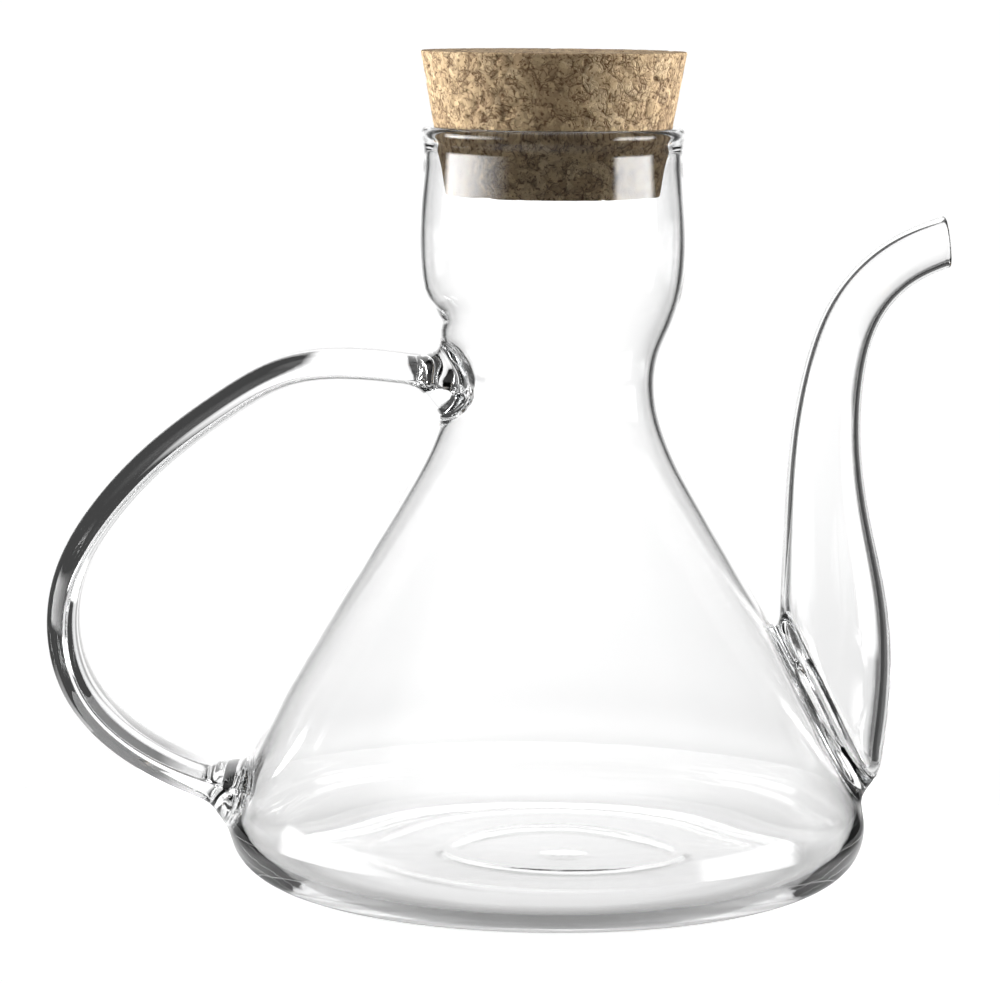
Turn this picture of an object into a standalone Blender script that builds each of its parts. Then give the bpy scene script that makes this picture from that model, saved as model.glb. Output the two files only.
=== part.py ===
"""A glass oil pourer, at its real size in metres.

A blown flask carries a curved pouring spout and a flat strap handle, fused into one piece of clear
glass. A tapered cork stands in its mouth. Heights are measured from the surface the flask stands on,
and places along X from the flask's own axis: the spout is at +X and the handle at -X.
"""

import math

import bmesh
import bpy

# The flask: outside radii, heights and the thickness of its glass
BODY_RADIUS = 0.0600
BODY_HEIGHT = 0.0095
FOOT_RADIUS = 0.0500
PUNT_RADIUS = 0.0440
PUNT_HEIGHT = 0.0016
PUNT_BULGE = 0.8  # share of the punt's height that is left half way out
RIM_RADIUS = 0.0243
RIM_HEIGHT = 0.1403
RIM_BEAD = 0.0032
RIM_EDGE = 0.0006
MOUTH_RADIUS = 0.02245
WALL = 0.0019
FLOOR_HEIGHT = 0.0044
FLOOR_RADIUS = 0.0480
FLASK_STEPS = 48
WALL_STEPS = 4
CORNER_STEPS = 5

# Stations up the outside of the flask: radius, height, and the radius gained for each unit of height
FLASK_STATIONS = (
    (BODY_RADIUS, BODY_HEIGHT, 0.0),
    (0.0506, 0.0320, -0.58),
    (0.0222, 0.0812, -0.55),
    (0.0195, 0.0912, 0.0),
    (0.0230, 0.1050, 0.37),
    (0.0251, 0.1190, 0.0),
    (0.0241, RIM_HEIGHT - RIM_BEAD, -0.03),
)

# The spout: stations along its middle, from its root to past its mouth, as x, height and radius
SPOUT_STATIONS = (
    (0.0534, 0.0233, 0.0099),
    (0.0541, 0.0360, 0.0104),
    (0.0535, 0.0510, 0.0100),
    (0.0521, 0.0656, 0.0082),
    (0.0514, 0.0804, 0.0067),
    (0.0527, 0.0945, 0.0057),
    (0.0574, 0.1082, 0.0050),
    (0.0650, 0.1163, 0.0048),
    (0.0780, 0.1224, 0.0047),
)
SPOUT_REACH = 0.0740
SPOUT_MOUTH_SETBACK = 0.0006  # from the reach to the cut at the middle of the mouth
SPOUT_MOUTH_HEIGHT = 0.1205
SPOUT_MOUTH_LEAN = math.radians(7.0)
SPOUT_WALL = 0.0015
SPOUT_TRIM = (0.0200, 0.0200, 0.0300)  # the block that cuts the mouth, larger than the mouth
SPOUT_ROOT_STEPS = 4
SPOUT_SIDE_STEPS = 3
CURVE_STEPS = 3

# The handle: a strap along these places, x and height, from the neck round to the body
STRAP_STATIONS = (
    (-0.0130, 0.0935),
    (-0.0240, 0.0944),
    (-0.0380, 0.0956),
    (-0.0490, 0.0941),
    (-0.0605, 0.0879),
    (-0.0725, 0.0788),
    (-0.0830, 0.0675),
    (-0.0895, 0.0555),
    (-0.0908, 0.0460),
    (-0.0875, 0.0338),
    (-0.0795, 0.0250),
    (-0.0690, 0.0190),
    (-0.0560, 0.0148),
)
STRAP_WIDTH = 0.0200
STRAP_THICKNESS = 0.0052
STRAP_ROUNDING = 0.0014
STRAP_CORNER_POINTS = 3
HANDLE_REACH = 0.0934

# The pads of glass that the strap's two ends are fused on with: middle and half sizes
NECK_PAD_MIDDLE = (-0.0185, 0.0, 0.0926)
NECK_PAD_SIZE = (0.0056, 0.0125, 0.0052)
BODY_PAD_MIDDLE = (-0.0582, 0.0, 0.0152)
BODY_PAD_SIZE = (0.0052, 0.0125, 0.0058)
PAD_TURNS = 20
PAD_RINGS = 12

# The cork
CORK_TOP_RADIUS = 0.0246
CORK_BOTTOM_RADIUS = 0.0199
CORK_TOP = 0.1542
CORK_BOTTOM = 0.1276
CORK_EDGE = 0.0005
CORK_EDGE_STEPS = 2
CORK_EDGE_ANGLE = math.radians(60)
SHARP_ANGLE = math.radians(35)

# The origin is in the middle of the whole length, so the flask's axis stands off it
AXIS_X = (HANDLE_REACH - SPOUT_REACH) / 2
PASS_THROUGH = 0.0100
MERGE = 0.00001


def clear_scene():
    for old in list(bpy.data.objects):
        bpy.data.objects.remove(old, do_unlink=True)


def new_collection(name):
    made = bpy.data.collections.new(name)
    bpy.context.scene.collection.children.link(made)
    return made


def add_object(name, data, collection):
    made = bpy.data.objects.new(name, data)
    collection.objects.link(made)
    return made


def finish(name, colour, roughness, transmission=0.0):
    """A material with the part's colour, roughness and clearness."""
    made = bpy.data.materials.new(name)
    made.use_nodes = True
    shader = made.node_tree.nodes["Principled BSDF"]
    shader.inputs["Base Color"].default_value = (*colour, 1.0)
    shader.inputs["Metallic"].default_value = 0.0
    shader.inputs["Roughness"].default_value = roughness
    shader.inputs["Transmission Weight"].default_value = transmission
    return made


def wall_profile(inset, bottom, top):
    """The flask's wall as (radius, height) from low to high, moved inwards by inset of glass.

    Between two stations the radius is a cubic of the height that has each station's lean at its ends.
    """
    points = []
    for (r0, z0, lean0), (r1, z1, lean1) in zip(FLASK_STATIONS, FLASK_STATIONS[1:]):
        span = z1 - z0
        for step in range(WALL_STEPS):
            t = step / WALL_STEPS
            radius = (
                r0 * (2 * t**3 - 3 * t**2 + 1)
                + r1 * (3 * t**2 - 2 * t**3)
                + span * lean0 * (t**3 - 2 * t**2 + t)
                + span * lean1 * (t**3 - t**2)
            )
            lean = (
                (r1 - r0) * 6 * (t - t**2) / span
                + lean0 * (3 * t**2 - 4 * t + 1)
                + lean1 * (3 * t**2 - 2 * t)
            )
            points.append((radius - inset * math.hypot(1, lean), z0 + t * span))
    return [(radius, height) for radius, height in points if bottom <= height < top]


def corner(start, end):
    """A quarter of an ellipse from start, where it lies flat, up to end, where it stands upright."""
    turns = [math.pi / 2 * step / CORNER_STEPS for step in range(CORNER_STEPS)]
    return [
        (
            start[0] + (end[0] - start[0]) * math.sin(turn),
            end[1] + (start[1] - end[1]) * math.cos(turn),
        )
        for turn in turns
    ]


def turned(name, profile, collection):
    """A solid turned about the flask's axis from (radius, height) points that run from top to bottom."""
    mesh = bpy.data.meshes.new(name)
    points = [(radius, 0.0, height) for radius, height in profile]
    mesh.from_pydata(points, [(i, i + 1) for i in range(len(points) - 1)], [])
    solid = add_object(name, mesh, collection)
    solid.location.x = AXIS_X
    screw = solid.modifiers.new("turn", "SCREW")
    screw.steps = FLASK_STEPS
    screw.render_steps = FLASK_STEPS
    screw.use_merge_vertices = True
    screw.merge_threshold = MERGE
    return solid


def flask_outside(collection):
    foot = [(0.0, PUNT_HEIGHT), (PUNT_RADIUS / 2, PUNT_HEIGHT * PUNT_BULGE), (PUNT_RADIUS, 0.0)]
    shoulder = corner((FOOT_RADIUS, 0.0), (BODY_RADIUS, BODY_HEIGHT))
    wall = wall_profile(0.0, BODY_HEIGHT, RIM_HEIGHT)
    bead = RIM_HEIGHT - RIM_BEAD
    rim = [
        (FLASK_STATIONS[-1][0], bead),
        (RIM_RADIUS, bead + RIM_BEAD / 2),
        (RIM_RADIUS, RIM_HEIGHT - RIM_EDGE),
        (RIM_RADIUS - RIM_EDGE, RIM_HEIGHT),
        (0.0, RIM_HEIGHT),
    ]
    return turned("glass", (foot + shoulder + wall + rim)[::-1], collection)


def flask_inside(collection):
    """The space inside the flask, which runs out through its mouth."""
    turn_in = BODY_HEIGHT + WALL
    wall = wall_profile(WALL, turn_in, RIM_HEIGHT)
    floor = [(0.0, FLOOR_HEIGHT)]
    floor += corner((FLOOR_RADIUS, FLOOR_HEIGHT), wall[0])
    mouth = [
        (MOUTH_RADIUS, RIM_HEIGHT - RIM_BEAD),
        (MOUTH_RADIUS, RIM_HEIGHT - RIM_EDGE),
        (MOUTH_RADIUS + 2 * RIM_EDGE, RIM_HEIGHT + RIM_EDGE),
        (MOUTH_RADIUS + 2 * RIM_EDGE, RIM_HEIGHT + PASS_THROUGH),
        (0.0, RIM_HEIGHT + PASS_THROUGH),
    ]
    return turned("flask inside", (floor + wall + mouth)[::-1], collection)


def smooth(stations):
    """Points on a Catmull-Rom curve through the stations, which may have any number of values each."""
    ends = (
        tuple(2 * a - b for a, b in zip(stations[0], stations[1])),
        tuple(2 * a - b for a, b in zip(stations[-1], stations[-2])),
    )
    padded = (ends[0], *stations, ends[1])
    points = []
    for before, start, end, after in zip(padded, padded[1:], padded[2:], padded[3:]):
        for step in range(CURVE_STEPS):
            t = step / CURVE_STEPS
            points.append(
                tuple(
                    b + t * (c - a + t * (2 * a - 5 * b + 4 * c - d + t * (3 * (b - c) + d - a))) / 2
                    for a, b, c, d in zip(before, start, end, after)
                )
            )
    return points + [stations[-1]]


def mesh_from(curve_object, collection):
    """The curve's solid as a mesh object with its caps welded on, in place of the curve."""
    graph = bpy.context.evaluated_depsgraph_get()
    mesh = bpy.data.meshes.new_from_object(curve_object.evaluated_get(graph))
    shape = bmesh.new()
    shape.from_mesh(mesh)
    bmesh.ops.remove_doubles(shape, verts=shape.verts, dist=MERGE)
    bmesh.ops.recalc_face_normals(shape, faces=shape.faces)
    shape.to_mesh(mesh)
    shape.free()
    solid = add_object(curve_object.name + " solid", mesh, collection)
    solid.matrix_world = curve_object.matrix_world.copy()
    bpy.data.objects.remove(curve_object, do_unlink=True)
    return solid


def path(name, points, collection):
    """An open curve in the upright plane through the flask's axis, from points given as x and height."""
    curve = bpy.data.curves.new(name, "CURVE")
    curve.dimensions = "2D"
    curve.fill_mode = "NONE"
    curve.use_fill_caps = True
    line = curve.splines.new("POLY")
    line.points.add(len(points) - 1)
    for place, (x, height) in zip(line.points, points):
        place.co = (x, height, 0.0, 1.0)
    laid = add_object(name, curve, collection)
    laid.location.x = AXIS_X
    laid.rotation_euler.x = math.pi / 2
    return laid


def spout_tube(name, inset, collection):
    """The spout's tube, made thinner by inset, with a round end at its root."""
    x, height, radius = SPOUT_STATIONS[0]
    turns = [math.pi / 2 * step / SPOUT_ROOT_STEPS for step in range(1, SPOUT_ROOT_STEPS)]
    root = [
        (x, height - (radius - inset) * math.cos(turn), inset + (radius - inset) * math.sin(turn))
        for turn in turns
    ]
    places = root + smooth(SPOUT_STATIONS)
    laid = path(name, [place[:2] for place in places], collection)
    laid.data.bevel_mode = "ROUND"
    laid.data.bevel_depth = 1.0
    laid.data.bevel_resolution = SPOUT_SIDE_STEPS
    for point, place in zip(laid.data.splines[0].points, places):
        point.radius = place[2] - inset
    bpy.context.view_layer.update()
    return mesh_from(laid, collection)


def strap(collection):
    """The handle: a rectangle with rounded corners carried along its curve."""
    half_thickness = STRAP_THICKNESS / 2 - STRAP_ROUNDING
    half_width = STRAP_WIDTH / 2 - STRAP_ROUNDING
    middles = ((1, 1), (-1, 1), (-1, -1), (1, -1))
    section = bpy.data.curves.new("strap section", "CURVE")
    outline = section.splines.new("POLY")
    outline.points.add(len(middles) * STRAP_CORNER_POINTS - 1)
    outline.use_cyclic_u = True
    for i, point in enumerate(outline.points):
        side, step = divmod(i, STRAP_CORNER_POINTS)
        turn = math.pi / 2 * (side + step / (STRAP_CORNER_POINTS - 1))
        across, along = middles[side]
        point.co = (
            across * half_thickness + STRAP_ROUNDING * math.cos(turn),
            along * half_width + STRAP_ROUNDING * math.sin(turn),
            0.0,
            1.0,
        )
    drawn = add_object("strap section", section, collection)
    laid = path("strap", smooth(STRAP_STATIONS), collection)
    laid.data.bevel_mode = "OBJECT"
    laid.data.bevel_object = drawn
    bpy.context.view_layer.update()
    solid = mesh_from(laid, collection)
    bpy.data.objects.remove(drawn, do_unlink=True)
    return solid


def pad(name, middle, size, collection):
    """An egg-shaped lump of glass."""
    bpy.ops.mesh.primitive_uv_sphere_add(segments=PAD_TURNS, ring_count=PAD_RINGS, radius=1.0)
    lump = bpy.context.object
    lump.name = name
    for old in list(lump.users_collection):
        old.objects.unlink(lump)
    collection.objects.link(lump)
    for point in lump.data.vertices:
        point.co = [place * half for place, half in zip(point.co, size)]
    lump.location = (AXIS_X + middle[0], middle[1], middle[2])
    return lump


def mouth_trim(collection):
    """A block that cuts the spout off along its nearly upright mouth."""
    bpy.ops.mesh.primitive_cube_add(size=1.0)
    block = bpy.context.object
    block.name = "mouth trim"
    for old in list(block.users_collection):
        old.objects.unlink(block)
    collection.objects.link(block)
    for point in block.data.vertices:
        point.co = [place * side for place, side in zip(point.co, SPOUT_TRIM)]
        point.co.x += SPOUT_TRIM[0] / 2
    block.location = (AXIS_X + SPOUT_REACH - SPOUT_MOUTH_SETBACK, 0.0, SPOUT_MOUTH_HEIGHT)
    block.rotation_euler.y = SPOUT_MOUTH_LEAN
    return block


def combine(solid, tool, operation):
    tool.hide_render = True
    tool.display_type = "WIRE"
    step = solid.modifiers.new(tool.name, "BOOLEAN")
    step.operation = operation
    step.solver = "EXACT"
    step.object = tool


def glass_piece(parts, tools):
    """Flask, spout and handle fused, with the flask's inside and the spout's bore taken out as one space."""
    solid = flask_outside(parts)
    for added in (
        spout_tube("spout", 0.0, tools),
        strap(tools),
        pad("neck pad", NECK_PAD_MIDDLE, NECK_PAD_SIZE, tools),
        pad("body pad", BODY_PAD_MIDDLE, BODY_PAD_SIZE, tools),
    ):
        combine(solid, added, "UNION")
    for removed in (
        flask_inside(tools),
        spout_tube("bore", SPOUT_WALL, tools),
        mouth_trim(tools),
    ):
        combine(solid, removed, "DIFFERENCE")
    solid.data.materials.append(finish("clear borosilicate glass", (0.98, 0.985, 0.98), 0.0, 1.0))
    return solid


def cork_piece(parts):
    """The stopper: a cone cut short, with its two edges broken."""
    bpy.ops.mesh.primitive_cone_add(
        vertices=FLASK_STEPS,
        radius1=CORK_BOTTOM_RADIUS,
        radius2=CORK_TOP_RADIUS,
        depth=CORK_TOP - CORK_BOTTOM,
        location=(AXIS_X, 0.0, (CORK_TOP + CORK_BOTTOM) / 2),
    )
    cork = bpy.context.object
    cork.name = "cork"
    for old in list(cork.users_collection):
        old.objects.unlink(cork)
    parts.objects.link(cork)
    edge = cork.modifiers.new("broken edges", "BEVEL")
    edge.width = CORK_EDGE
    edge.segments = CORK_EDGE_STEPS
    edge.limit_method = "ANGLE"
    edge.angle_limit = CORK_EDGE_ANGLE
    cork.data.shade_smooth()
    cork.data.set_sharp_from_angle(angle=SHARP_ANGLE)
    cork.data.materials.append(finish("pressed cork", (0.48, 0.29, 0.14), 0.85))
    return cork


def main():
    clear_scene()
    parts = new_collection("glass oil pourer")
    tools = new_collection("shapes fused on and cut out")
    glass_piece(parts, tools)
    cork_piece(parts)


main()
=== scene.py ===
"""A glass oil pourer with a cork in its mouth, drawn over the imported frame.

The flask, its curved spout and its strap handle are one piece of clear blown glass. A tapered
cork of pressed granules rests in the mouth. Shapes are worked out in millimetres from the
flask's upright axis, with the spout on the +x side, and put into the meshes in metres.
"""

import math

import bmesh
import bpy
import numpy as np
from mathutils import Matrix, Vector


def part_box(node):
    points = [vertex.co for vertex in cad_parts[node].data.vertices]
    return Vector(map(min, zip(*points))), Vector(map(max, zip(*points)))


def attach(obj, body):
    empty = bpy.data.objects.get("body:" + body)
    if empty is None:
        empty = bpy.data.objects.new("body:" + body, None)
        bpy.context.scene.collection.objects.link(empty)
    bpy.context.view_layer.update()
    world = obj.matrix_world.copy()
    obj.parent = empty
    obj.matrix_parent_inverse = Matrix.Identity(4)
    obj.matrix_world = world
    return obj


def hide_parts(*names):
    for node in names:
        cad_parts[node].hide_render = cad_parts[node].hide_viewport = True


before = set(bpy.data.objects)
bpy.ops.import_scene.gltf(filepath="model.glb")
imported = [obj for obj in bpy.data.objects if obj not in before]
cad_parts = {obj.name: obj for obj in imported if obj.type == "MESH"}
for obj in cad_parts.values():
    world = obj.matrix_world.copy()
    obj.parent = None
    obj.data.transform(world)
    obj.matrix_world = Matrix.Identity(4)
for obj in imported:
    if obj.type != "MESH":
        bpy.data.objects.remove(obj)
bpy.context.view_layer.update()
cork_low, cork_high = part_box("cork")
AXIS_X = (cork_low.x + cork_high.x) / 2  # metres from the frame's middle to the flask's axis
METRE = 1000.0  # millimetres

# The flask's outside as (radius, height), from the middle of its foot up to the lip's crest.
LIP_CREST = (23.45, 140.3)
FLASK_OUTSIDE = [
    (0.0, 1.7), (12.0, 1.65), (25.0, 1.45), (36.0, 1.15), (43.0, 0.75), (47.5, 0.2), (50.5, 0.0),
    (53.6, 0.6), (56.6, 2.3), (58.9, 5.0), (59.9, 8.2), (59.9, 10.6), (59.2, 13.4), (57.4, 18.2),
    (54.5, 24.0), (51.0, 31.2), (46.0, 40.2), (37.1, 55.0), (28.1, 70.0), (21.8, 82.0),
    (19.6, 90.0), (20.1, 98.0), (22.9, 105.0), (24.6, 112.0), (25.05, 120.0), (24.6, 127.0),
    (24.1, 133.0), (24.0, 136.0), (24.25, 137.8), (24.4, 139.1), (24.1, 140.0), LIP_CREST,
]
WALL_HEIGHTS = (13.4, 133.0)  # the wall between these is even, and follows its own line outside
WALL = 1.15
FLOOR_INSIDE = [
    (0.0, 3.9), (10.0, 3.8), (20.0, 3.6), (30.0, 3.3), (39.0, 2.9), (45.0, 2.6), (49.5, 2.45),
    (53.0, 3.0), (55.8, 4.6), (57.8, 7.2), (58.5, 10.2),
]
LIP_INSIDE = [(22.85, 136.0), (22.6, 137.6), (22.45, 139.0), (22.75, 139.95), LIP_CREST]

# The spout as (x, height, outer radius, wall), from its closed root in the body up to its tip.
SPOUT = [
    (53.4, 23.3, 9.9, 2.0), (54.1, 36.0, 10.4, 1.9), (53.5, 51.0, 10.0, 1.5),
    (52.1, 65.6, 8.2, 1.25), (51.4, 80.4, 6.7, 1.15), (52.7, 94.5, 5.7, 1.1),
    (57.4, 108.0, 5.0, 1.05), (65.0, 115.7, 4.75, 1.05), (78.0, 121.0, 4.7, 1.05),
]
TIP_AT = (73.0, 119.5)  # a point of the plane that cuts the tip
TIP_LEAN = math.radians(7.0)  # that plane from upright
TIP_ROUNDING = 0.55  # how far the fire-polished edge stands out of it

# The handle's middle line as (x, height, half its width across the view, swelling).
HANDLE = [
    (-13.0, 93.2, 10.4, 1.0), (-24.0, 94.4, 9.6, 1.0), (-38.0, 95.6, 9.2, 1.0),
    (-49.0, 94.3, 9.2, 1.0), (-60.5, 88.1, 9.3, 1.0), (-72.5, 78.9, 9.2, 1.0),
    (-83.0, 67.5, 9.3, 1.0), (-89.5, 55.5, 9.7, 1.0), (-90.8, 46.0, 10.3, 1.0),
    (-87.5, 33.8, 11.0, 1.0), (-79.5, 25.0, 11.2, 1.0), (-69.0, 19.0, 10.9, 1.05),
    (-56.0, 14.8, 12.0, 1.3),
]
HANDLE_OUTER = (3.95, 3.6)  # rise of the outer face over the widest line, and its power
HANDLE_INNER = (1.75, 1.79)  # the same of the face towards the flask
HANDLE_SHIFT = 0.85  # from the middle line to the widest line
HANDLE_TAPER = 0.3  # share of its width that the strap has lost at its outer face

# Gobs of glass that weld the handle and the spout on: (x, height), half sizes along x, y, z.
WELDS = [
    ((-18.5, 92.6), (5.3, 11.4, 5.4)), ((-58.4, 14.2), (4.2, 11.9, 5.2)),
]
OUTER_BLEND, INNER_BLEND = 4.6, 2.0  # reach of the rounding where two shapes run together
NO_REACH = 1e-6  # a reach that rounds nothing
SUNK = 1e-4  # a vertex is near a crease where the rounding sinks the surface by more than this
CREASE_MERGE, CREASE_MOVE = 0.3, 0.6  # vertices there merge within this, and move up to this

# The hole through the flask's wall that the spout stands over, an egg of the same numbers, and
# how much thicker the wall is there.
HOLE = ((50.6, 32.0), (7.0, 5.4, 8.8))
SEAM = 0.9

# The stopper: a cone frustum, its radii at the top and the bottom, and its rubbed edges.
CORK_TOP, CORK_BOTTOM, CORK_EDGE = 24.6, 19.9, 0.35


def linear(colour):
    """The linear light of an sRGB hex colour, by the sRGB transfer curve."""
    parts = np.array([int(colour[i : i + 2], 16) for i in (1, 3, 5)]) / 255
    light = np.where(parts <= 0.04045, parts / 12.92, ((parts + 0.055) / 1.055) ** 2.4)
    return (*light.tolist(), 1.0)


def spline(knots, values, at):
    """A natural cubic spline: cubics between the knots whose second derivatives agree there.

    The second derivatives solve one three-banded system and are zero at both ends.
    """
    width = np.diff(knots)
    inner = np.arange(1, len(knots) - 1)
    system, right = np.eye(len(knots)), np.zeros(values.shape)
    system[inner, inner - 1] = width[:-1]
    system[inner, inner] = 2 * (width[:-1] + width[1:])
    system[inner, inner + 1] = width[1:]
    right[inner] = 6 * np.diff(np.diff(values, axis=0) / width[:, None], axis=0)
    bend = np.linalg.solve(system, right)
    i = np.clip(np.searchsorted(knots, at, side="right") - 1, 0, len(knots) - 2)
    span = width[i][:, None]
    a = (knots[i + 1] - at)[:, None] / span
    b = 1 - a
    curve = ((a**3 - a) * bend[i] + (b**3 - b) * bend[i + 1]) * span**2 / 6
    return a * values[i] + b * values[i + 1] + curve


def path(stations, count=700):
    """A smooth curve through the stations, as columns at even steps of its length.

    The first two columns are its place in an upright plane and the others go along with it.
    Returns the lengths, the columns and the unit tangents.
    """
    stations = np.array(stations, float)
    steps = np.hypot(*np.diff(stations[:, :2], axis=0).T)
    knots = np.concatenate([[0.0], np.cumsum(steps)])
    fine = spline(knots, stations, np.linspace(0, knots[-1], 8000))
    length = np.concatenate([[0.0], np.cumsum(np.hypot(*np.diff(fine[:, :2], axis=0).T))])
    even = np.linspace(0, length[-1], count)
    columns = np.stack([np.interp(even, length, column) for column in fine.T], axis=1)
    tangent = np.gradient(columns[:, :2], even, axis=0)
    return even, columns, tangent / np.linalg.norm(tangent, axis=1, keepdims=True)


def along(curve, lengths):
    """The curve's columns and unit tangents at these lengths, between its even steps."""
    even, columns, tangent = curve
    both = np.concatenate([columns, tangent], axis=1)
    found = np.stack([np.interp(lengths, even, column) for column in both.T], axis=-1)
    tangent = found[..., -2:]
    return found[..., :-2], tangent / np.linalg.norm(tangent, axis=-1, keepdims=True)


def nearest(curve, flat):
    """The length at which the curve comes nearest to each point of its plane.

    The nearest sample is moved along its tangent by the point's offset along that tangent.
    """
    even, columns, tangent = curve
    place = columns[:, :2]
    size = (place**2).sum(axis=1)
    blocks = np.array_split(flat, max(1, len(flat) // 8000))
    i = np.concatenate([np.argmin(size - 2 * block @ place.T, axis=1) for block in blocks])
    step = ((flat - place[i]) * tangent[i]).sum(axis=1)
    return np.clip(even[i] + step, 0, even[-1])


def off_turned(curve, points):
    """Signed distance from the surface that a profile of (radius, height) makes when turned."""
    flat = np.stack([np.hypot(points[:, 0], points[:, 1]), points[:, 2]], axis=1)
    place, tangent = along(curve, nearest(curve, flat))
    gap = flat - place[:, :2]
    return gap[:, 0] * tangent[:, 1] - gap[:, 1] * tangent[:, 0]


def off_tube(curve, points, inset):
    """Distance from the curve's nearest point, less the radius there and plus the inset wall."""
    place, _ = along(curve, nearest(curve, points[:, [0, 2]]))
    gap = points - np.stack([place[:, 0], np.zeros(len(points)), place[:, 1]], axis=1)
    return np.linalg.norm(gap, axis=1) - place[:, 2] + inset * place[:, 3]


def tapered(rise):
    """The share of the strap's width that is left at this rise, on a straight line across it."""
    across = (rise + HANDLE_INNER[0]) / (HANDLE_INNER[0] + HANDLE_OUTER[0])
    return 1 - HANDLE_TAPER * np.clip(across, -0.5, 1.5)


def off_handle(points):
    """Distance off the strap: (|u/w|^p + |v/h|^p)^(1/p) = 1 over its width u and rise v.

    The power p and the height h differ on its two faces, and the half width w falls with the
    rise. The value less one is divided by its own slope, which makes it a distance near the
    surface.
    """
    place, tangent = along(HANDLE_LINE, nearest(HANDLE_LINE, points[:, [0, 2]]))
    gap = points[:, [0, 2]] - place[:, :2]
    rise = gap[:, 0] * tangent[:, 1] - gap[:, 1] * tangent[:, 0] + HANDLE_SHIFT * place[:, 3]
    height = np.where(rise > 0, HANDLE_OUTER[0], HANDLE_INNER[0]) * place[:, 3]
    power = np.where(rise > 0, HANDLE_OUTER[1], HANDLE_INNER[1])
    half = place[:, 2] * tapered(rise / place[:, 3])
    u, v = np.abs(points[:, 1]) / half, np.abs(rise) / height
    size = np.maximum((u**power + v**power) ** (1 / power), 0.2)
    slope = np.hypot(u ** (power - 1) / half, v ** (power - 1) / height)
    past_end = np.abs((gap * tangent).sum(axis=1))
    return np.maximum((size - 1) * size ** (power - 1) / np.maximum(slope, 1e-3), past_end - 0.5)


def off_weld(weld, points):
    """Distance off an ellipsoid: its scaled radius, times that less one, over its slope."""
    (x, z), half = weld
    gap = points - np.array([x, 0.0, z])
    size = np.linalg.norm(gap / half, axis=1)
    return size * (size - 1) / np.maximum(np.linalg.norm(gap / np.square(half), axis=1), 1e-3)


def run_together(distances, reach):
    """The least distance, with the crease between two shapes rounded.

    Where two are closer than reach to each other, the least sinks by the cube of how close
    they are, up to a sixth of reach.
    """
    total = distances[0]
    for distance in distances[1:]:
        close = np.maximum(reach - np.abs(total - distance), 0) / reach
        total = np.minimum(total, distance) - close**3 * reach / 6
    return total


def outside(points, reach=OUTER_BLEND):
    """Distance off the outside: the flask, spout, strap and welds run together."""
    shapes = [off_turned(FLASK_LINE, points), off_tube(SPOUT_LINE, points, 0.0)]
    shapes += [off_handle(points)] + [off_weld(weld, points) for weld in WELDS]
    return run_together(shapes, reach)


def inside(points, reach=INNER_BLEND):
    """The hollow of the flask, the spout's bore as far as the flask's wall, and the hole.

    The bore's edge against the wall is rounded as where two shapes run together, but from
    inside and with three times the reach.
    """
    wall = off_turned(FLASK_LINE, points) - SEAM
    bore = -run_together([-off_tube(SPOUT_LINE, points, 1.0), wall], 3 * reach)
    return run_together([off_turned(BORE_LINE, points), bore, off_weld(HOLE, points)], reach)


def inner_line():
    """The profile of the flask's inside: the outside moved in by the wall, with its own ends."""
    low, high = WALL_HEIGHTS
    wall = np.array([p for p in FLASK_OUTSIDE if low <= p[1] <= high])
    place, tangent = along(FLASK_LINE, nearest(FLASK_LINE, wall))
    inward = np.stack([-tangent[:, 1], tangent[:, 0]], axis=1)
    return path(FLOOR_INSIDE + (place + WALL * inward).tolist() + LIP_INSIDE)


def spaced(curve, spacing, start=0.0):
    """Lengths along the curve whose gaps follow spacing, a function of its columns."""
    even = np.linspace(start, curve[0][-1], 3000)
    columns, _ = along(curve, even)
    rows = np.concatenate([[0.0], np.cumsum(np.diff(even) / spacing(columns)[1:])])
    return np.interp(np.linspace(0, rows[-1], int(rows[-1]) + 2), rows, even)


def turned(curve, lengths, around=200, out=0.0):
    """Rings of the profile turned about the axis, closer together towards the spout and handle.

    The angle is t - sin(2t)/4, so that its steps halve on the x axis. The profile is moved
    out square to itself first.
    """
    turn = np.arange(around) * 2 * np.pi / around
    turn -= np.sin(2 * turn) / 4
    place, tangent = along(curve, lengths)
    radius = place[:, :1] + out * tangent[:, 1:]
    height = np.broadcast_to(place[:, 1:2] - out * tangent[:, :1], (len(place), around))
    return np.stack([radius * np.cos(turn), radius * np.sin(turn), height], axis=-1)


def tube_point(lengths, turn, inset):
    """The point of the spout's surface at this length and turn: the line plus its radius."""
    place, tangent = along(SPOUT_LINE, lengths)
    radius = place[..., 2] - inset * place[..., 3]
    x = place[..., 0] + radius * np.cos(turn) * tangent[..., 1]
    z = place[..., 1] - radius * np.cos(turn) * tangent[..., 0]
    return np.stack([x, radius * np.sin(turn), z], axis=-1)


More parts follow.
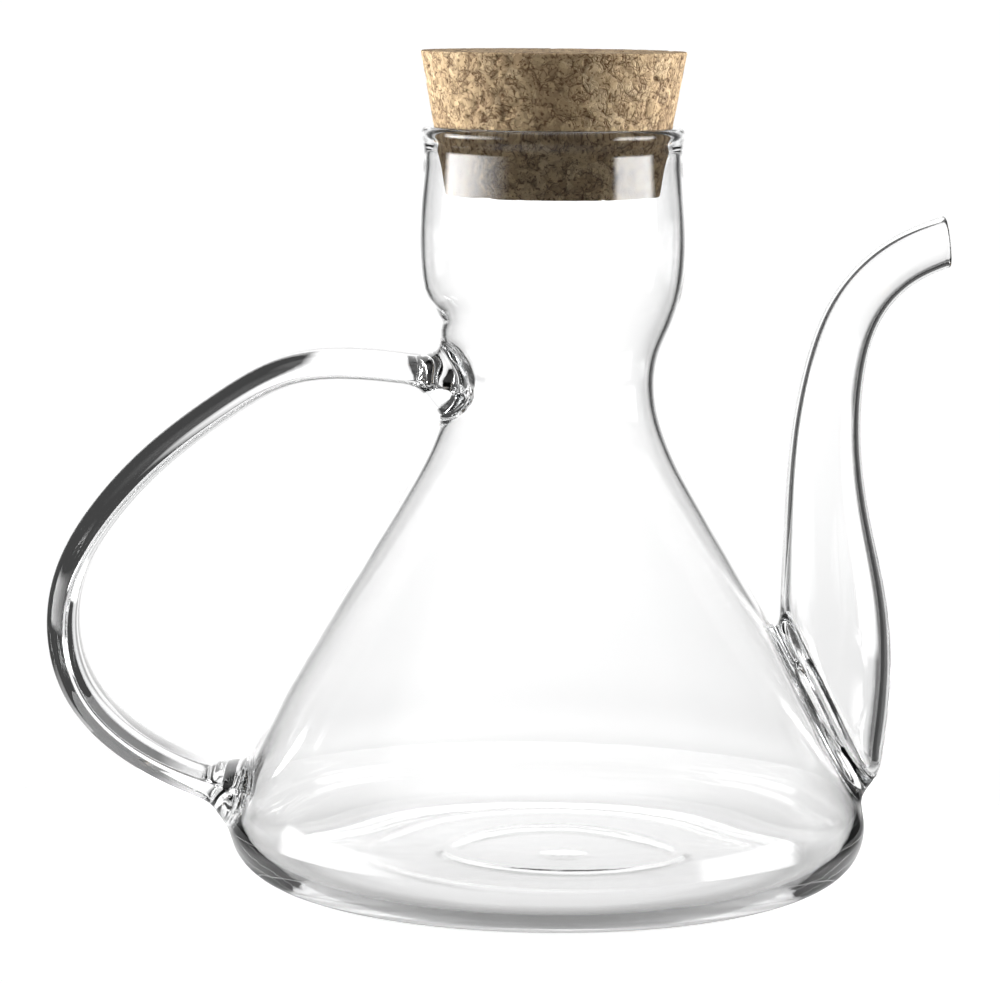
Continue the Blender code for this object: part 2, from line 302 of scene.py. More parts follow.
def spout_rings(inset, around=44):
    """Rings of the spout from its round root, half a ball, up to the crest of its lip.

    Each line along the tube is stretched over its last quarter, to end on the plane that cuts
    the tip. From there a quarter of an ellipse leads on to the crest, half way between the
    outer and inner edges.
    """
    rows, unstretched = 118, 0.75
    turn = np.arange(around) * 2 * np.pi / around
    normal = np.array([math.cos(TIP_LEAN), 0.0, math.sin(TIP_LEAN)])
    cut = np.array([TIP_AT[0], 0.0, TIP_AT[1]])
    full = SPOUT_LINE[0][-1]
    probe = np.linspace(full * 0.7, full, 600)[:, None] + np.zeros(around)
    # where each line of the outside and of the bore first passes the plane
    edges = []
    for part in (0.0, 1.0):
        past = ((tube_point(probe, turn, part) - cut) @ normal) > 0
        stop = probe[np.argmax(past, axis=0), np.arange(around)]
        edges.append((stop, tube_point(stop, turn, part)))
    stop, edge = edges[int(inset)]
    crest = (edges[0][1] + edges[1][1]) / 2 + TIP_ROUNDING * normal
    even = np.linspace(0, 1, rows)[:, None]
    stretch = np.clip((even - unstretched) / (1 - unstretched), 0, 1) ** 2
    lengths = even * full * (1 - stretch) + stop * stretch * even
    tube = tube_point(lengths, turn, inset)
    sweep = np.linspace(0, np.pi / 2, 6)[1:, None, None]
    lip = edge + (1 - np.cos(sweep)) * (crest - TIP_ROUNDING * normal - edge)
    lip = lip + np.sin(sweep) * TIP_ROUNDING * normal
    place, tangent = along(SPOUT_LINE, np.zeros(around))
    radius = place[:, 2] - inset * place[:, 3]
    fall = np.linspace(np.pi / 2, 0, 9)[:-1, None]
    out, back = np.cos(fall) * np.cos(turn), np.sin(fall)
    x = place[:, 0] + radius * (out * tangent[:, 1] - back * tangent[:, 0])
    z = place[:, 1] - radius * (out * tangent[:, 0] + back * tangent[:, 1])
    root = np.stack([x, radius * np.cos(fall) * np.sin(turn), z], axis=-1)
    return np.concatenate([root, tube, lip])


def handle_rings(around=72):
    """Sections of the strap square to its line: w cos^(2/p), h sin^(2/p) with signs kept.

    Each half width w is the station's own, tapered by the rise h sin^(2/p).
    """
    lengths = spaced(HANDLE_LINE, lambda c: np.where(np.abs(c[:, 0] + 54) > 30, 1.0, 1.6))
    place, tangent = along(HANDLE_LINE, lengths)
    turn = (np.arange(around) + 0.5) * 2 * np.pi / around
    cos, sin = np.cos(turn), np.sin(turn)
    power = np.where(sin > 0, HANDLE_OUTER[1], HANDLE_INNER[1])
    height = np.where(sin > 0, HANDLE_OUTER[0], HANDLE_INNER[0])
    rise = height * np.sign(sin) * np.abs(sin) ** (2 / power)
    across = place[:, 2:3] * tapered(rise) * np.sign(cos) * np.abs(cos) ** (2 / power)
    rise = (rise - HANDLE_SHIFT) * place[:, 3:4]
    x = place[:, :1] + rise * tangent[:, 1:]
    z = place[:, 1:2] - rise * tangent[:, :1]
    return np.stack([x, across, z], axis=-1)


def weld_rings(weld, around=48, rows=25):
    """An ellipsoid as rings about its upright axis."""
    (x, z), (a, b, c) = weld
    rise = np.linspace(-np.pi / 2, np.pi / 2, rows)[:, None]
    turn = np.arange(around) * 2 * np.pi / around
    ring = [a * np.cos(rise) * np.cos(turn), b * np.cos(rise) * np.sin(turn)]
    height = np.broadcast_to(c * np.sin(rise), (rows, around))
    return np.stack([ring[0] + x, ring[1], height + z], axis=-1)


def closed(name, rings, caps):
    """A closed body from rings, in metres, with a flat cap on the ends that caps names."""
    count, around, _ = rings.shape
    index = np.arange(count * around).reshape(count, around)
    low, high = index[:-1], index[1:]
    quads = np.stack([low, np.roll(low, -1, 1), np.roll(high, -1, 1), high], axis=-1)
    faces = quads.reshape(-1, 4).tolist()
    faces += [index[0][::-1].tolist()] * caps[0] + [index[-1].tolist()] * caps[1]
    mesh = bpy.data.meshes.new(name)
    mesh.from_pydata(rings.reshape(-1, 3) / METRE, [], faces)
    shape = bmesh.new()
    shape.from_mesh(mesh)
    bmesh.ops.remove_doubles(shape, verts=shape.verts, dist=1e-7)
    bmesh.ops.recalc_face_normals(shape, faces=shape.faces)
    shape.to_mesh(mesh)
    shape.free()
    body = bpy.data.objects.new(name, mesh)
    bpy.context.scene.collection.objects.link(body)
    return body


def joined(bodies, removed=None):
    """The mesh of the closed bodies' union, after removed has been cut from the first one."""
    for other in [removed] * (removed is not None) + bodies[1:]:
        step = bodies[0].modifiers.new("weld", "BOOLEAN")
        step.operation = "DIFFERENCE" if other is removed else "UNION"
        step.solver, step.object = "MANIFOLD", other
    graph = bpy.context.evaluated_depsgraph_get()
    mesh = bpy.data.meshes.new_from_object(bodies[0].evaluated_get(graph))
    for body in bodies + [removed] * (removed is not None):
        bpy.data.objects.remove(body, do_unlink=True)
    return mesh


def threes(rows, name, kind=float):
    """A named value of every row of a mesh's data, as an array with three columns."""
    values = np.empty(len(rows) * 3, kind)
    rows.foreach_get(name, values)
    return values.reshape(-1, 3)


def arrays(mesh):
    """The mesh's vertices in millimetres and its triangles."""
    mesh.calc_loop_triangles()
    return threes(mesh.vertices, "co") * METRE, threes(mesh.loop_triangles, "vertices", int)


def merged(mesh, chosen, distance):
    """Merges the chosen vertices that lie closer than distance, in millimetres."""
    shape = bmesh.new()
    shape.from_mesh(mesh)
    bmesh.ops.triangulate(shape, faces=shape.faces)
    shape.verts.ensure_lookup_table()
    verts = [shape.verts[i] for i in np.flatnonzero(chosen)]
    bmesh.ops.remove_doubles(shape, verts=verts, dist=distance / METRE)
    shape.to_mesh(mesh)
    shape.free()


def change(function, points, step=0.05):
    """How fast the function changes along each axis, by differences over a step to both sides."""
    shifts = np.eye(3) * step
    return np.stack([(function(points + s) - function(points - s)) / (2 * step) for s in shifts], axis=1)


def rounded_creases(mesh, field, rounds=12):
    """Moves the vertices near a crease on to the rounded field, and evens them out on it.

    Each round moves a vertex half way to the mean of its neighbours along the surface, then
    back on to the surface by the field over its slope. Returns points, triangles, and the
    chosen vertices with their unit normals, which are the field's slope.
    """

    def near_crease(points):
        """Whether the rounding sinks the surface at each point."""
        return np.abs(field(points) - field(points, reach=NO_REACH)) > SUNK

    merged(mesh, near_crease(arrays(mesh)[0]), CREASE_MERGE)
    points, faces = arrays(mesh)
    zone = np.flatnonzero(near_crease(points))
    sides = np.concatenate([faces[:, [0, 1]], faces[:, [1, 2]], faces[:, [2, 0]]])
    ends = np.unique(np.sort(sides, axis=1), axis=0)
    ends = np.concatenate([ends, ends[:, ::-1]])
    degree = np.bincount(ends[:, 0], minlength=len(points))[:, None]
    for _ in range(rounds):
        total = [np.bincount(ends[:, 0], points[ends[:, 1], axis], len(points)) for axis in range(3)]
        move = (np.stack(total, axis=1) / degree - points)[zone] / 2
        slope = change(field, points[zone])
        size = np.linalg.norm(slope, axis=1, keepdims=True)
        normal = slope / size
        move -= (move * normal).sum(axis=1, keepdims=True) * normal
        move -= field(points[zone])[:, None] / np.maximum(size, 0.5) * normal
        points[zone] += move * np.minimum(CREASE_MOVE / np.linalg.norm(move, axis=1, keepdims=True), 1)
    slope = change(field, points[zone])
    return points, faces, zone, slope / np.linalg.norm(slope, axis=1, keepdims=True)


def on_crest(points, crests):
    """Whether each point lies on one of the crest rings that the two skins share."""
    crest = np.concatenate(crests)
    found = np.zeros(len(points), bool)
    near = np.flatnonzero(points[:, 2] > 110)
    gap = np.abs(points[near][:, None] - crest[None]).max(axis=2).min(axis=1)
    found[near] = gap < 2e-3
    return found


def worked_by_hand(points):
    """Small departures from the true shape, as a smooth move of each point.

    The wall leaves the round by tenths of a millimetre. Over the handle's upper weld it is
    drawn in by a dent, a bell curve of height and angle. The floor's inside carries two rings
    and a knob, bell curves of the distance from a middle that is off the axis.
    """
    x, y, z = points.T
    radius, angle = np.maximum(np.hypot(x, y), 1e-6), np.arctan2(y, x)
    fade = np.clip((126 - z) / 12, 0, 1) * np.clip(z / 10, 0, 1)
    move = fade * (0.10 * np.sin(2 * angle + z / 31) + 0.08 * np.sin(3 * angle - z / 19 + 1))
    behind = np.abs(np.angle(np.exp(1j * (angle - np.pi))))
    move = move - 2.0 * np.exp(-(((z - 105.4) / 2.9) ** 2) - (behind / 0.62) ** 2)
    from_middle = np.hypot(x - 3.2, y + 0.4)
    turn = np.arctan2(y + 0.4, x - 3.2)
    ripple = 0.2 * np.exp(-(((from_middle - 37.5 - 0.5 * np.sin(turn)) / 1.9) ** 2))
    ripple = ripple + 0.26 * np.exp(-(((from_middle - 21.9 + 0.6 * np.sin(2 * turn)) / 1.7) ** 2))
    ripple = ripple + 0.4 * np.exp(-((from_middle / 3.2) ** 2))
    floor = np.clip((z - 2.3) / 1.0, 0, 1) * np.clip((9 - z) / 3, 0, 1) * (radius < 52)
    return np.stack([x + move * x / radius, y + move * y / radius, z + ripple * floor], axis=1)


def turned_with(move, points, normals):
    """The normals after the move: the inverse of its Jacobian, transposed, times each one."""
    made = np.linalg.solve(change(move, points), normals[:, :, None])[:, :, 0]
    return made / np.linalg.norm(made, axis=1, keepdims=True)


def add(nodes, kind, values=()):
    """Adds a node. Each value sets an attribute or an input, or is a socket linked to an input."""
    made = nodes.new(kind)
    for name, value in dict(values).items():
        if isinstance(value, bpy.types.NodeSocket):
            made.id_data.links.new(value, made.inputs[name])
        elif isinstance(name, str) and hasattr(made, name):
            setattr(made, name, value)
        else:
            made.inputs[name].default_value = value
    return made


def maths(nodes, operation, *terms):
    """What the operation makes of its terms, each a socket or a number."""
    return add(nodes, "ShaderNodeMath", {"operation": operation, **dict(enumerate(terms))}).outputs[0]


def ranged(nodes, value, ends, levels=(0.0, 1.0)):
    """The value taken from between the ends to between the levels, and no further."""
    names = ("From Min", "From Max", "To Min", "To Max")
    values = {"Value": value, **dict(zip(names, (*ends, *levels)))}
    return add(nodes, "ShaderNodeMapRange", values).outputs[0]


def ramp(nodes, value, stops):
    """The colour at this value, straight between stops of (place, colour) from 0 to 1."""
    made = add(nodes, "ShaderNodeValToRGB", {"Fac": value})
    elements = made.color_ramp.elements
    for place, colour in stops[1:-1]:
        elements.new(place).color = colour
    for end in (0, -1):
        elements[end].color = stops[end][1]
    return made.outputs["Color"]


def mixed(nodes, share, one, other):
    """The colour that lies this share of the way from one to the other."""
    values = {"data_type": "RGBA", "Factor": share, 6: one, 7: other}
    return add(nodes, "ShaderNodeMix", values).outputs[2]


def material(name):
    """A new material and its empty list of nodes."""
    made = bpy.data.materials.new(name)
    made.use_nodes = True
    nodes = made.node_tree.nodes
    nodes.clear()
    return made, nodes


def borosilicate():
    """Lampworked borosilicate glass: blown tube, drawn and flame-polished.

    It gives the eye a clear body with no colour but a breath of cool grey where it is thick,
    mirror-smooth skins, and a faint waviness that the flame leaves.
    """
    made, nodes = material("flame-polished borosilicate glass")
    place = add(nodes, "ShaderNodeTexCoord").outputs["Object"]
    # waves of about 9 mm, a few hundredths of a millimetre deep
    waves = add(nodes, "ShaderNodeTexNoise", {"Vector": place, "Scale": 1 / 0.009, "Detail": 1.0})
    depth = {"Height": waves.outputs["Fac"], "Strength": 0.35, "Distance": 0.00008}
    bump = add(nodes, "ShaderNodeBump", depth)
    glass = add(
        nodes,
        "ShaderNodeBsdfPrincipled",
        {
            "Base Color": linear("#FDFDFD"),
            "Roughness": 0.0,
            "IOR": 1.474,
            "Transmission Weight": 1.0,
            "Normal": bump.outputs["Normal"],
        },
    )
    tint = add(nodes, "ShaderNodeVolumeAbsorption", {"Color": linear("#D2D6D8"), "Density": 5.0})
    shown = {"Surface": glass.outputs[0], "Volume": tint.outputs[0]}
    add(nodes, "ShaderNodeOutputMaterial", shown)
    return made


def set_mesh(name, points, faces, normals=None):
    """A mesh object from millimetres about the flask's axis, smooth, with its own normals."""
    mesh = bpy.data.meshes.new(name)
    world = points / METRE + np.array([AXIS_X, 0.0, 0.0])
    mesh.from_pydata(world, [], faces)
    mesh.shade_smooth()
    if normals is not None:
        mesh.normals_split_custom_set_from_vertices(normals.tolist())
    made = bpy.data.objects.new(name, mesh)
    bpy.context.scene.collection.objects.link(made)
    return made


def glass_spacing(columns):
    """Gaps between rings in millimetres: small on the lips, the floor and beside the welds."""
    height = columns[:, 1]
    gap = np.full(len(columns), 1.9)
    gap[(height < 54) | ((height > 84) & (height < 104))] = 1.1
    gap[height > 135.5] = 0.42
    return gap


def glass_vessel():
    """The whole vessel: an outer skin and an inner skin, sewn together at the two lips.

    Each skin is the union of its closed bodies with the creases rounded. The spout's bore is
    kept out of the flask's wall, which is why the wall is cut from it, and only the hole leads
    through.
    """
    outer_flask = turned(FLASK_LINE, spaced(FLASK_LINE, glass_spacing))
    inner_flask = turned(BORE_LINE, spaced(BORE_LINE, glass_spacing))
    outer_spout, inner_spout = spout_rings(0.0), spout_rings(1.0)
    crests = [outer_flask[-1], outer_spout[-1]]
    outer_bodies = [closed("flask", outer_flask, (0, 1)), closed("spout", outer_spout, (0, 1))]
    outer_bodies.append(closed("handle", handle_rings(), (1, 1)))
    outer_bodies += [closed("weld", weld_rings(weld), (0, 0)) for weld in WELDS]
    inner_bodies = [closed("bore", inner_spout, (0, 1)), closed("hollow", inner_flask, (0, 1))]
    inner_bodies.append(closed("hole", weld_rings(HOLE), (0, 0)))
    wall = turned(FLASK_LINE, spaced(FLASK_LINE, glass_spacing, 0.2), out=SEAM)
    wall = closed("wall", wall, (1, 1))
    skins = []
    for bodies, removed, field in ((outer_bodies, None, outside), (inner_bodies, wall, inside)):
        mesh = joined(bodies, removed)
        points, faces, zone, normal = rounded_creases(mesh, field)
        covering = on_crest(points, crests)[faces].all(axis=1)
        skins.append((points, faces[~covering], zone, normal))
    (points, faces, zone, normal), (inner, inner_faces, inner_zone, inner_normal) = skins
    count = len(points)
    points = np.concatenate([points, inner])
    faces = np.concatenate([faces, inner_faces[:, ::-1] + count])
    zone = np.concatenate([zone, inner_zone + count])
    normal = np.concatenate([normal, -inner_normal])
    mesh = bpy.data.meshes.new("skins")
    mesh.from_pydata(points / METRE, [], faces)
    known = mesh.attributes.new("known_normal", "FLOAT_VECTOR", "POINT")
    values = np.zeros((len(points), 3))
    values[zone] = normal
    known.data.foreach_set("vector", values.ravel())
    merged(mesh, on_crest(points, crests), 3e-3)
    points, faces = arrays(mesh)
    normals = threes(mesh.vertex_normals, "vector")
    values = threes(mesh.attributes["known_normal"].data, "vector")
    chosen = np.linalg.norm(values, axis=1) > 0.5
    normals[chosen] = values[chosen]
    normals = turned_with(worked_by_hand, points, normals)
    return set_mesh("glass_vessel", worked_by_hand(points), faces, normals)


def lattice(points, cell, seed):
    """Smooth noise from -1 to 1: random values on a lattice, eased between by t^2(3-2t)."""
    table = np.random.default_rng(seed).uniform(-1, 1, (32, 32, 32))
    scaled = points / cell
    base = np.floor(scaled).astype(int)
    t = scaled - base
    t = t * t * (3 - 2 * t)
    total = np.zeros(len(points))
    for corner in range(8):
        bit = np.array([corner & 1, corner >> 1 & 1, corner >> 2 & 1])
        weight = np.prod(np.where(bit, t, 1 - t), axis=1)
        x, y, z = ((base + bit) % 32).T
        total += weight * table[x, y, z]
    return total


def cork_stopper():
    """A cone frustum with rubbed edges, as rings about the axis, roughened by lattice noise.

    The profile runs up the side between two quarter circles and across both ends. Noise of
    3.1 and 1.3 mm cells lowers the surface where it is least, which leaves pits and chips, and
    noise of 0.8 mm cells roughens it by hundredths of a millimetre.
    """
    around = 300
    low, high = cork_low.z * METRE, cork_high.z * METRE
    sweep = np.linspace(0, np.pi / 2, 5)
    curl = np.stack([np.sin(sweep), 1 - np.cos(sweep)], axis=1) * CORK_EDGE
    middle = np.linspace(0, 1, 75)[1:-1, None]
    ends = np.array([[CORK_BOTTOM, low + CORK_EDGE], [CORK_TOP, high - CORK_EDGE]])
    side = ends[0] * (1 - middle) + ends[1] * middle
    foot = curl + [CORK_BOTTOM - CORK_EDGE, low]
    head = (curl * [1, -1])[::-1] + [CORK_TOP - CORK_EDGE, high]
    disc = np.linspace(0, 1, 40)[:-1, None]
    under = disc * [CORK_BOTTOM - CORK_EDGE, 0] + [0, low]
    over = disc[::-1] * [CORK_TOP - CORK_EDGE, 0] + [0, high]
    profile = np.concatenate([under, foot, side, head, over])
    turn = np.arange(around) * 2 * np.pi / around
    radius, height = profile[:, :1], np.broadcast_to(profile[:, 1:], (len(profile), around))
    rings = np.stack([radius * np.cos(turn), radius * np.sin(turn), height], axis=-1)
    body = closed("cork_stopper", rings, (0, 0))
    points, faces = arrays(body.data)
    normals = threes(body.data.vertex_normals, "vector")
    bpy.data.objects.remove(body, do_unlink=True)
    pits = np.clip(-lattice(points, 1.3, 3) - 0.35, 0, 1) * 0.55
    pits += np.clip(-lattice(points, 3.1, 5) - 0.45, 0, 1) * 0.5 + 0.02 * (1 + lattice(points, 0.8, 8))
    return set_mesh("cork_stopper", points - normals * pits[:, None], faces)


def pressed_cork():
    """Agglomerated cork: bark granules of 1 to 4 mm pressed with a binder, turned and sanded.

    It gives the eye a matt tan body of patches that differ in tone, outlined by thin dark
    brown seams, with small flecks of dark bark.
    """
    made, nodes = material("sanded agglomerated cork")
    place = add(nodes, "ShaderNodeTexCoord").outputs["Object"]
    # bends the granules out of plain cells, by up to 1.2 mm over 3 mm
    bend = add(nodes, "ShaderNodeTexNoise", {"Vector": place, "Scale": 1 / 0.003, "Detail": 3.0})
    shift = {"operation": "MULTIPLY_ADD", 0: bend.outputs["Color"], 1: (0.0024,) * 3, 2: (-0.0012,) * 3}
    shift = add(nodes, "ShaderNodeVectorMath", shift).outputs[0]
    bent = add(nodes, "ShaderNodeVectorMath", {"operation": "ADD", 0: place, 1: shift}).outputs[0]

    def cells(size, feature="F1"):
        """Voronoi cells of this many metres."""
        values = {"Vector": bent, "Scale": 1 / size, "feature": feature}
        return add(nodes, "ShaderNodeTexVoronoi", values).outputs

    # granules of 2.6 mm, and crumbs of 0.9 mm between them
    granule, crumb = 0.0026, 0.0009
    tone = add(nodes, "ShaderNodeSeparateColor", {"Color": cells(granule)["Color"]}).outputs
    small_tone = add(nodes, "ShaderNodeSeparateColor", {"Color": cells(crumb)["Color"]}).outputs
    tans = [(0.0, "#937B5D"), (0.35, "#A8906E"), (0.7, "#B39C79"), (1.0, "#C6B08E")]
    browns = [(0.0, "#77634A"), (1.0, "#C4AB85")]
    patches = ramp(nodes, tone["Red"], [(at, linear(colour)) for at, colour in tans])
    crumbs = ramp(nodes, small_tone["Green"], [(at, linear(colour)) for at, colour in browns])
    body = mixed(nodes, 0.45, patches, crumbs)
    # the binder's dark seams, about 0.3 mm wide, broken by noise of 2 mm
    seams = ranged(nodes, cells(granule, "DISTANCE_TO_EDGE")["Distance"], (0.0, 0.11), (0.85, 0.0))
    cracks = ranged(nodes, cells(crumb, "DISTANCE_TO_EDGE")["Distance"], (0.0, 0.18), (0.6, 0.0))
    broken = add(nodes, "ShaderNodeTexNoise", {"Vector": place, "Scale": 1 / 0.002, "Detail": 2.0})
    kept = ranged(nodes, broken.outputs["Fac"], (0.40, 0.56))
    lines = maths(nodes, "MULTIPLY", maths(nodes, "MAXIMUM", seams, cracks), kept)
    lined = mixed(nodes, lines, body, linear("#44290F"))
    # flecks of bark, 0.4 mm
    bark = add(nodes, "ShaderNodeTexNoise", {"Vector": bent, "Scale": 1 / 0.0006, "Detail": 2.0})
    flecks = ranged(nodes, bark.outputs["Fac"], (0.55, 0.66), (0.0, 0.8))
    flecked = mixed(nodes, flecks, lined, linear("#4C3015"))
    relief = maths(nodes, "SUBTRACT", small_tone["Red"], lines)
    bump = add(nodes, "ShaderNodeBump", {"Height": relief, "Strength": 0.6, "Distance": 0.00015})
    cork = add(
        nodes,
        "ShaderNodeBsdfPrincipled",
        {
            "Base Color": flecked,
            "Roughness": 0.86,
            "Specular IOR Level": 0.3,
            "Normal": bump.outputs["Normal"],
        },
    )
    add(nodes, "ShaderNodeOutputMaterial", {"Surface": cork.outputs[0]})
    return made


# the table's radius, and the middle of the painted shadow ring under the flask's foot
TABLE_RADIUS, SHADOW_RING_RADIUS = 0.12, 0.0545  # metres


def table_top():
    """A round white table, flat and matt, wide enough to carry the shadow.

    The eye sees it as white as the picture's ground. What sees it through the glass finds it
    dimmer by painted shade, with a painted shadow ring under the front of the thick foot and painted
    shade to both sides.
    """
    bpy.ops.mesh.primitive_circle_add(vertices=160, radius=TABLE_RADIUS, fill_type="NGON")
    made = bpy.context.object
    made.name = "table_top"
    paint, nodes = material("matt white table")
    place = add(nodes, "ShaderNodeTexCoord").outputs["Object"]
    x, y, _ = add(nodes, "ShaderNodeSeparateXYZ", {0: place}).outputs
    bare = add(nodes, "ShaderNodeLightPath").outputs["Is Camera Ray"]
    covered = maths(nodes, "SUBTRACT", 1.0, bare)

    def without(shade):
        """One less the painted shade, which counts only where the eye doesn't see the table bare."""
        return maths(nodes, "SUBTRACT", 1.0, maths(nodes, "MULTIPLY", shade, covered))

    # a painted shadow ring under the front of the flask's thick foot, 46 to 64 mm out
    away = {"operation": "SUBTRACT", 0: place, 1: (AXIS_X, 0.0, 0.0)}
    away = add(nodes, "ShaderNodeVectorMath", away).outputs[0]
    away = add(nodes, "ShaderNodeVectorMath", {"operation": "LENGTH", 0: away}).outputs["Value"]
    off_shadow_ring = maths(nodes, "ABSOLUTE", maths(nodes, "SUBTRACT", away, SHADOW_RING_RADIUS))
    # how dark the painted shadow ring is
    ring = ranged(nodes, off_shadow_ring, (0.003, 0.009), (0.8, 0.0))
    in_front = ranged(nodes, y, (0.012, -0.012))
    outside_painted_shadow_ring = without(maths(nodes, "MULTIPLY", ring, in_front))
    # painted shade to the left and right of the flask, where only the glass's edges look
    aside = maths(nodes, "ABSOLUTE", maths(nodes, "SUBTRACT", x, AXIS_X))
    outside_painted_side_shade = without(ranged(nodes, aside, (0.068, 0.082), (0.0, 0.75)))
    fleck = add(nodes, "ShaderNodeTexNoise", {"Vector": place, "Scale": 40.0}).outputs["Fac"]
    # the table's colour: a little random tone, darkened by the painted side shade, and halved as painted
    # shade where the eye doesn't see it bare
    white = maths(nodes, "MULTIPLY", ranged(nodes, fleck, (0.0, 1.0), (0.80, 0.84)), outside_painted_side_shade)
    white = maths(nodes, "MULTIPLY", white, ranged(nodes, covered, (0.0, 1.0), (1.0, 0.5)))
    # lifts it to the white of the picture's ground where the eye sees it bare
    glow = maths(nodes, "MULTIPLY", ranged(nodes, bare, (0.0, 1.0), (0.62, 0.8)), outside_painted_side_shade)
    # the glow is lower where the eye doesn't see the table bare, and carries the painted side shade and
    # the painted shadow ring
    glow = maths(nodes, "MULTIPLY", glow, outside_painted_shadow_ring)
    shade = add(
        nodes,
        "ShaderNodeBsdfPrincipled",
        {
            "Base Color": white,
            "Roughness": 0.7,
            "Emission Color": (1, 1, 1, 1),
            "Emission Strength": glow,
        },
    )
    add(nodes, "ShaderNodeOutputMaterial", {"Surface": shade.outputs[0]})
    made.data.materials.append(paint)


# The studio round the object, as (degrees from straight behind it, light). The sweep behind it
# is white and falls off to the sides; a softbox stands to each side; the room is dim.
SWEEP = [(-180, 0.0), (-27, 0.0), (-17, 1.04), (0, 1.0), (17, 0.92), (27, 0.0), (180, 0.0)]
SOFTBOXES = [
    (-180, 0.0), (-141, 0.0), (-131, 1.2), (-119, 3.4), (-108, 6.5), (-93, 8.7), (-74, 8.7),
    (-68, 0.0), (79, 0.0), (85, 8.2), (120, 8.2), (126, 0.0), (180, 0.0),
]
# Two more lamps beside the object, which light only what is matt on it
SIDE_LAMPS = [
    (-180, 0.0), (-126, 0.0), (-108, 3.0), (-95, 16.0), (-60, 16.0), (-50, 0.0), (50, 0.0),
    (60, 13.0), (95, 13.0), (108, 3.0), (126, 0.0), (180, 0.0),
]
# White walls beside and behind the eye, which show only straight through the glass
FAR_WALL = [(-180, 1.05), (-84, 1.05), (-72, 0.0), (0, 0.0), (84, 0.0), (96, 1.05), (180, 1.05)]
# The same by height, as the upright part of a direction of length one
SWEEP_BY_HEIGHT = [
    (-1.0, 0.0), (-0.42, 0.0), (-0.34, 0.96), (-0.24, 1.0), (-0.19, 1.06), (-0.15, 1.16),
    (-0.10, 1.27), (-0.05, 1.32), (1.0, 1.32),
]
SOFTBOX_BY_HEIGHT = [(-1.0, 0.0), (-0.13, 0.0), (-0.085, 1.0), (0.14, 1.0), (0.21, 0.0), (1.0, 0.0)]
LAMPS_BY_HEIGHT = [(-1.0, 0.0), (-0.1, 0.0), (-0.05, 1.8), (0.3, 1.8), (0.45, 0.0), (1.0, 0.0)]
FAR_WALL_BY_HEIGHT = [(-1.0, 0.0), (-0.5, 0.0), (-0.4, 1.0), (0.2, 1.0), (0.34, 0.0), (1.0, 0.0)]
CEILING_BY_HEIGHT = [(-1.0, 0.06), (0.87, 0.06), (0.94, 1.3), (1.0, 1.3)]
FRONT_BY_HEIGHT = [(-1.0, 0.0), (0.46, 0.0), (0.60, 1.0), (0.87, 1.0), (1.0, 0.0)]
BRIGHTEST = 16.0
THROUGH_GLASS = 1.35  # the most that shows straight through the glass
GROUND = 1.02  # what the eye itself sees all round


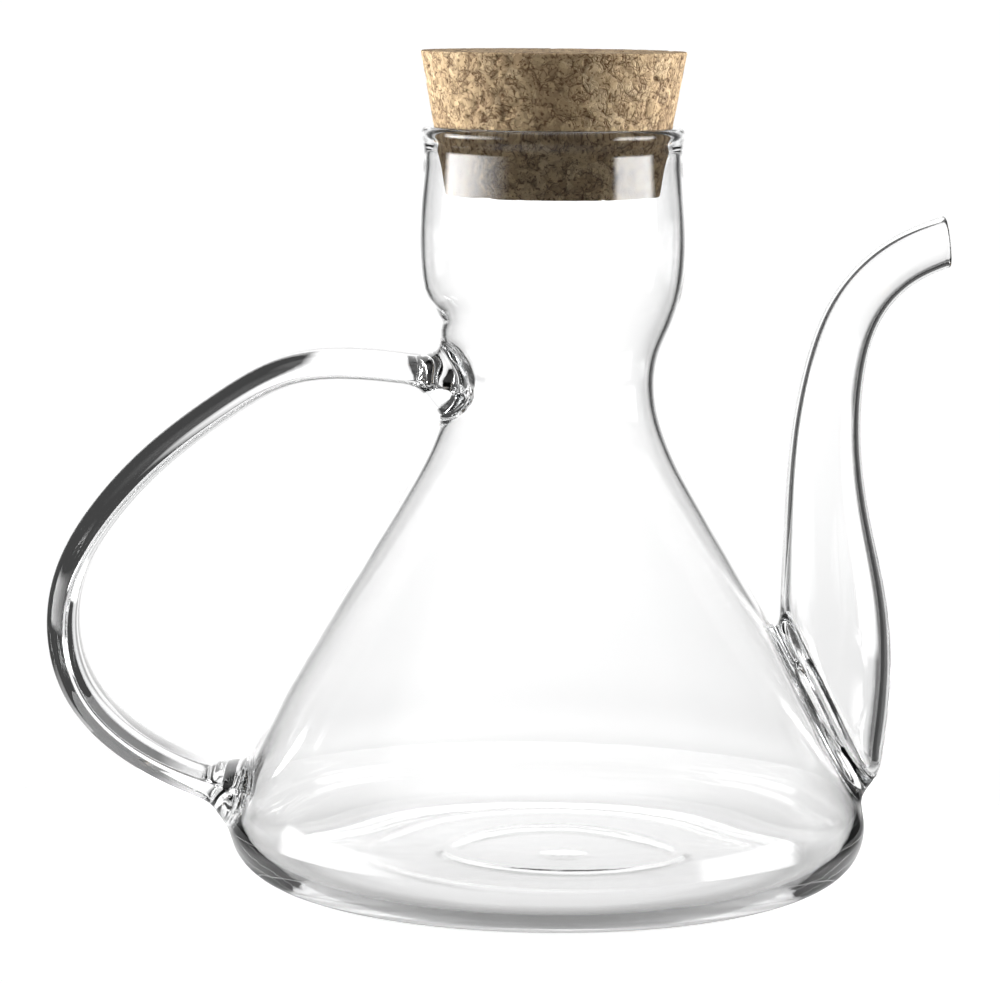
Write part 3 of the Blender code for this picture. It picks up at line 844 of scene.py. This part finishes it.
def studio():
    """Soft light from all round as a world, by the direction that a ray leaves in.

    The sweep and each pair of lights are a curve of the turn times a curve of the height, and
    the sweep is narrower higher up. A ceiling adds a lamp straight above, and a dim light
    stands high in front, brighter over the handle's side. Straight through the glass no light
    is brighter than THROUGH_GLASS, and the far walls show. The eye itself sees plain white.
    """
    world = bpy.data.worlds.new("studio")
    bpy.context.scene.world = world
    world.use_nodes = True
    nodes = world.node_tree.nodes
    nodes.clear()
    ray = add(nodes, "ShaderNodeTexCoord").outputs["Generated"]
    x, y, height = add(nodes, "ShaderNodeSeparateXYZ", {0: ray}).outputs
    around = maths(nodes, "ARCTAN2", x, y)

    def curve(stops, value, half):
        """The light at the value, straight between stops that reach half to either side."""
        start, spans = stops[0][0], stops[-1][0] - stops[0][0]
        grey = [((at - start) / spans, (light / BRIGHTEST,) * 3 + (1.0,)) for at, light in stops]
        share = ranged(nodes, value, (-half, half))
        return maths(nodes, "MULTIPLY", ramp(nodes, share, grey), BRIGHTEST)

    def lights(by_turn, by_height, turn=around):
        """A curve of the turn times a curve of the height."""
        return maths(nodes, "MULTIPLY", curve(by_turn, turn, math.pi), curve(by_height, height, 1.0))

    narrower = ranged(nodes, height, (0.3, 0.55), (1.0, 1.9))
    sweep = lights(SWEEP, SWEEP_BY_HEIGHT, maths(nodes, "MULTIPLY", around, narrower))
    slant = ranged(nodes, x, (-0.6, 0.6), (1.1, 0.35))
    high = maths(nodes, "MULTIPLY", slant, ranged(nodes, y, (0.0, -0.3)))
    front = maths(nodes, "MULTIPLY", high, curve(FRONT_BY_HEIGHT, height, 1.0))
    room = maths(nodes, "MAXIMUM", front, curve(CEILING_BY_HEIGHT, height, 1.0))
    light = maths(nodes, "ADD", sweep, lights(SOFTBOXES, SOFTBOX_BY_HEIGHT))
    light = maths(nodes, "MAXIMUM", light, room)
    # thrown is 0 for a ray that came straight through the glass
    rays = add(nodes, "ShaderNodeLightPath").outputs
    thrown = maths(nodes, "ADD", rays["Glossy Depth"], rays["Diffuse Depth"])
    most = ranged(nodes, thrown, (0.0, 1.0), (THROUGH_GLASS, BRIGHTEST))
    light = maths(nodes, "MINIMUM", light, most)
    lamps = maths(nodes, "MULTIPLY", lights(SIDE_LAMPS, LAMPS_BY_HEIGHT), rays["Is Diffuse Ray"])
    light = maths(nodes, "ADD", light, lamps)
    straight = ranged(nodes, thrown, (0.0, 1.0), (1.0, 0.0))
    walls = maths(nodes, "MULTIPLY", lights(FAR_WALL, FAR_WALL_BY_HEIGHT), straight)
    light = maths(nodes, "MAXIMUM", light, walls)
    plain = add(nodes, "ShaderNodeBackground", {"Color": (1, 1, 1, 1), "Strength": GROUND})
    lit = add(nodes, "ShaderNodeBackground", {"Color": (1, 1, 1, 1), "Strength": light})
    shown = {0: rays["Is Camera Ray"], 1: lit.outputs[0], 2: plain.outputs[0]}
    shown = add(nodes, "ShaderNodeMixShader", shown).outputs[0]
    add(nodes, "ShaderNodeOutputWorld", {"Surface": shown})


EYE = (-0.0093, -0.7431, 0.1686)  # metres from the foot of the flask's axis
TIPPED_DOWN, ROLLED = 7.405, 0.47  # degrees


def camera():
    """The photograph's view: a long lens in front of the object, a little above and tipped down."""
    data = bpy.data.cameras.new("camera")
    data.sensor_width, data.lens = 36.0, 144.0
    data.clip_start, data.clip_end = 0.05, 20.0
    made = bpy.data.objects.new("camera", data)
    bpy.context.scene.collection.objects.link(made)
    tipped = Matrix.Rotation(math.radians(90 - TIPPED_DOWN), 4, "X")
    rolled = Matrix.Rotation(math.radians(ROLLED), 4, "Z")
    made.matrix_world = Matrix.Translation((AXIS_X + EYE[0], *EYE[1:])) @ (tipped @ rolled)
    bpy.context.scene.camera = made


def picture():
    """Enough bounces for light to cross every wall of glass, and no film curve."""
    scene = bpy.context.scene
    scene.cycles.max_bounces = scene.cycles.transmission_bounces = 32
    scene.cycles.glossy_bounces = scene.cycles.transparent_max_bounces = 16
    scene.cycles.diffuse_bounces = 4
    scene.cycles.use_denoising = True
    scene.view_settings.view_transform = "Standard"
    scene.view_settings.look = "None"


FLASK_LINE = path(FLASK_OUTSIDE)
SPOUT_LINE = path(SPOUT)
HANDLE_LINE = path(HANDLE)
BORE_LINE = inner_line()

for piece, node, finish in (
    (glass_vessel(), "glass", borosilicate()),
    (cork_stopper(), "cork", pressed_cork()),
):
    piece.data.materials.append(finish)
    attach(piece, "root")
    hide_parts(node)
table_top()
studio()
camera()
picture()
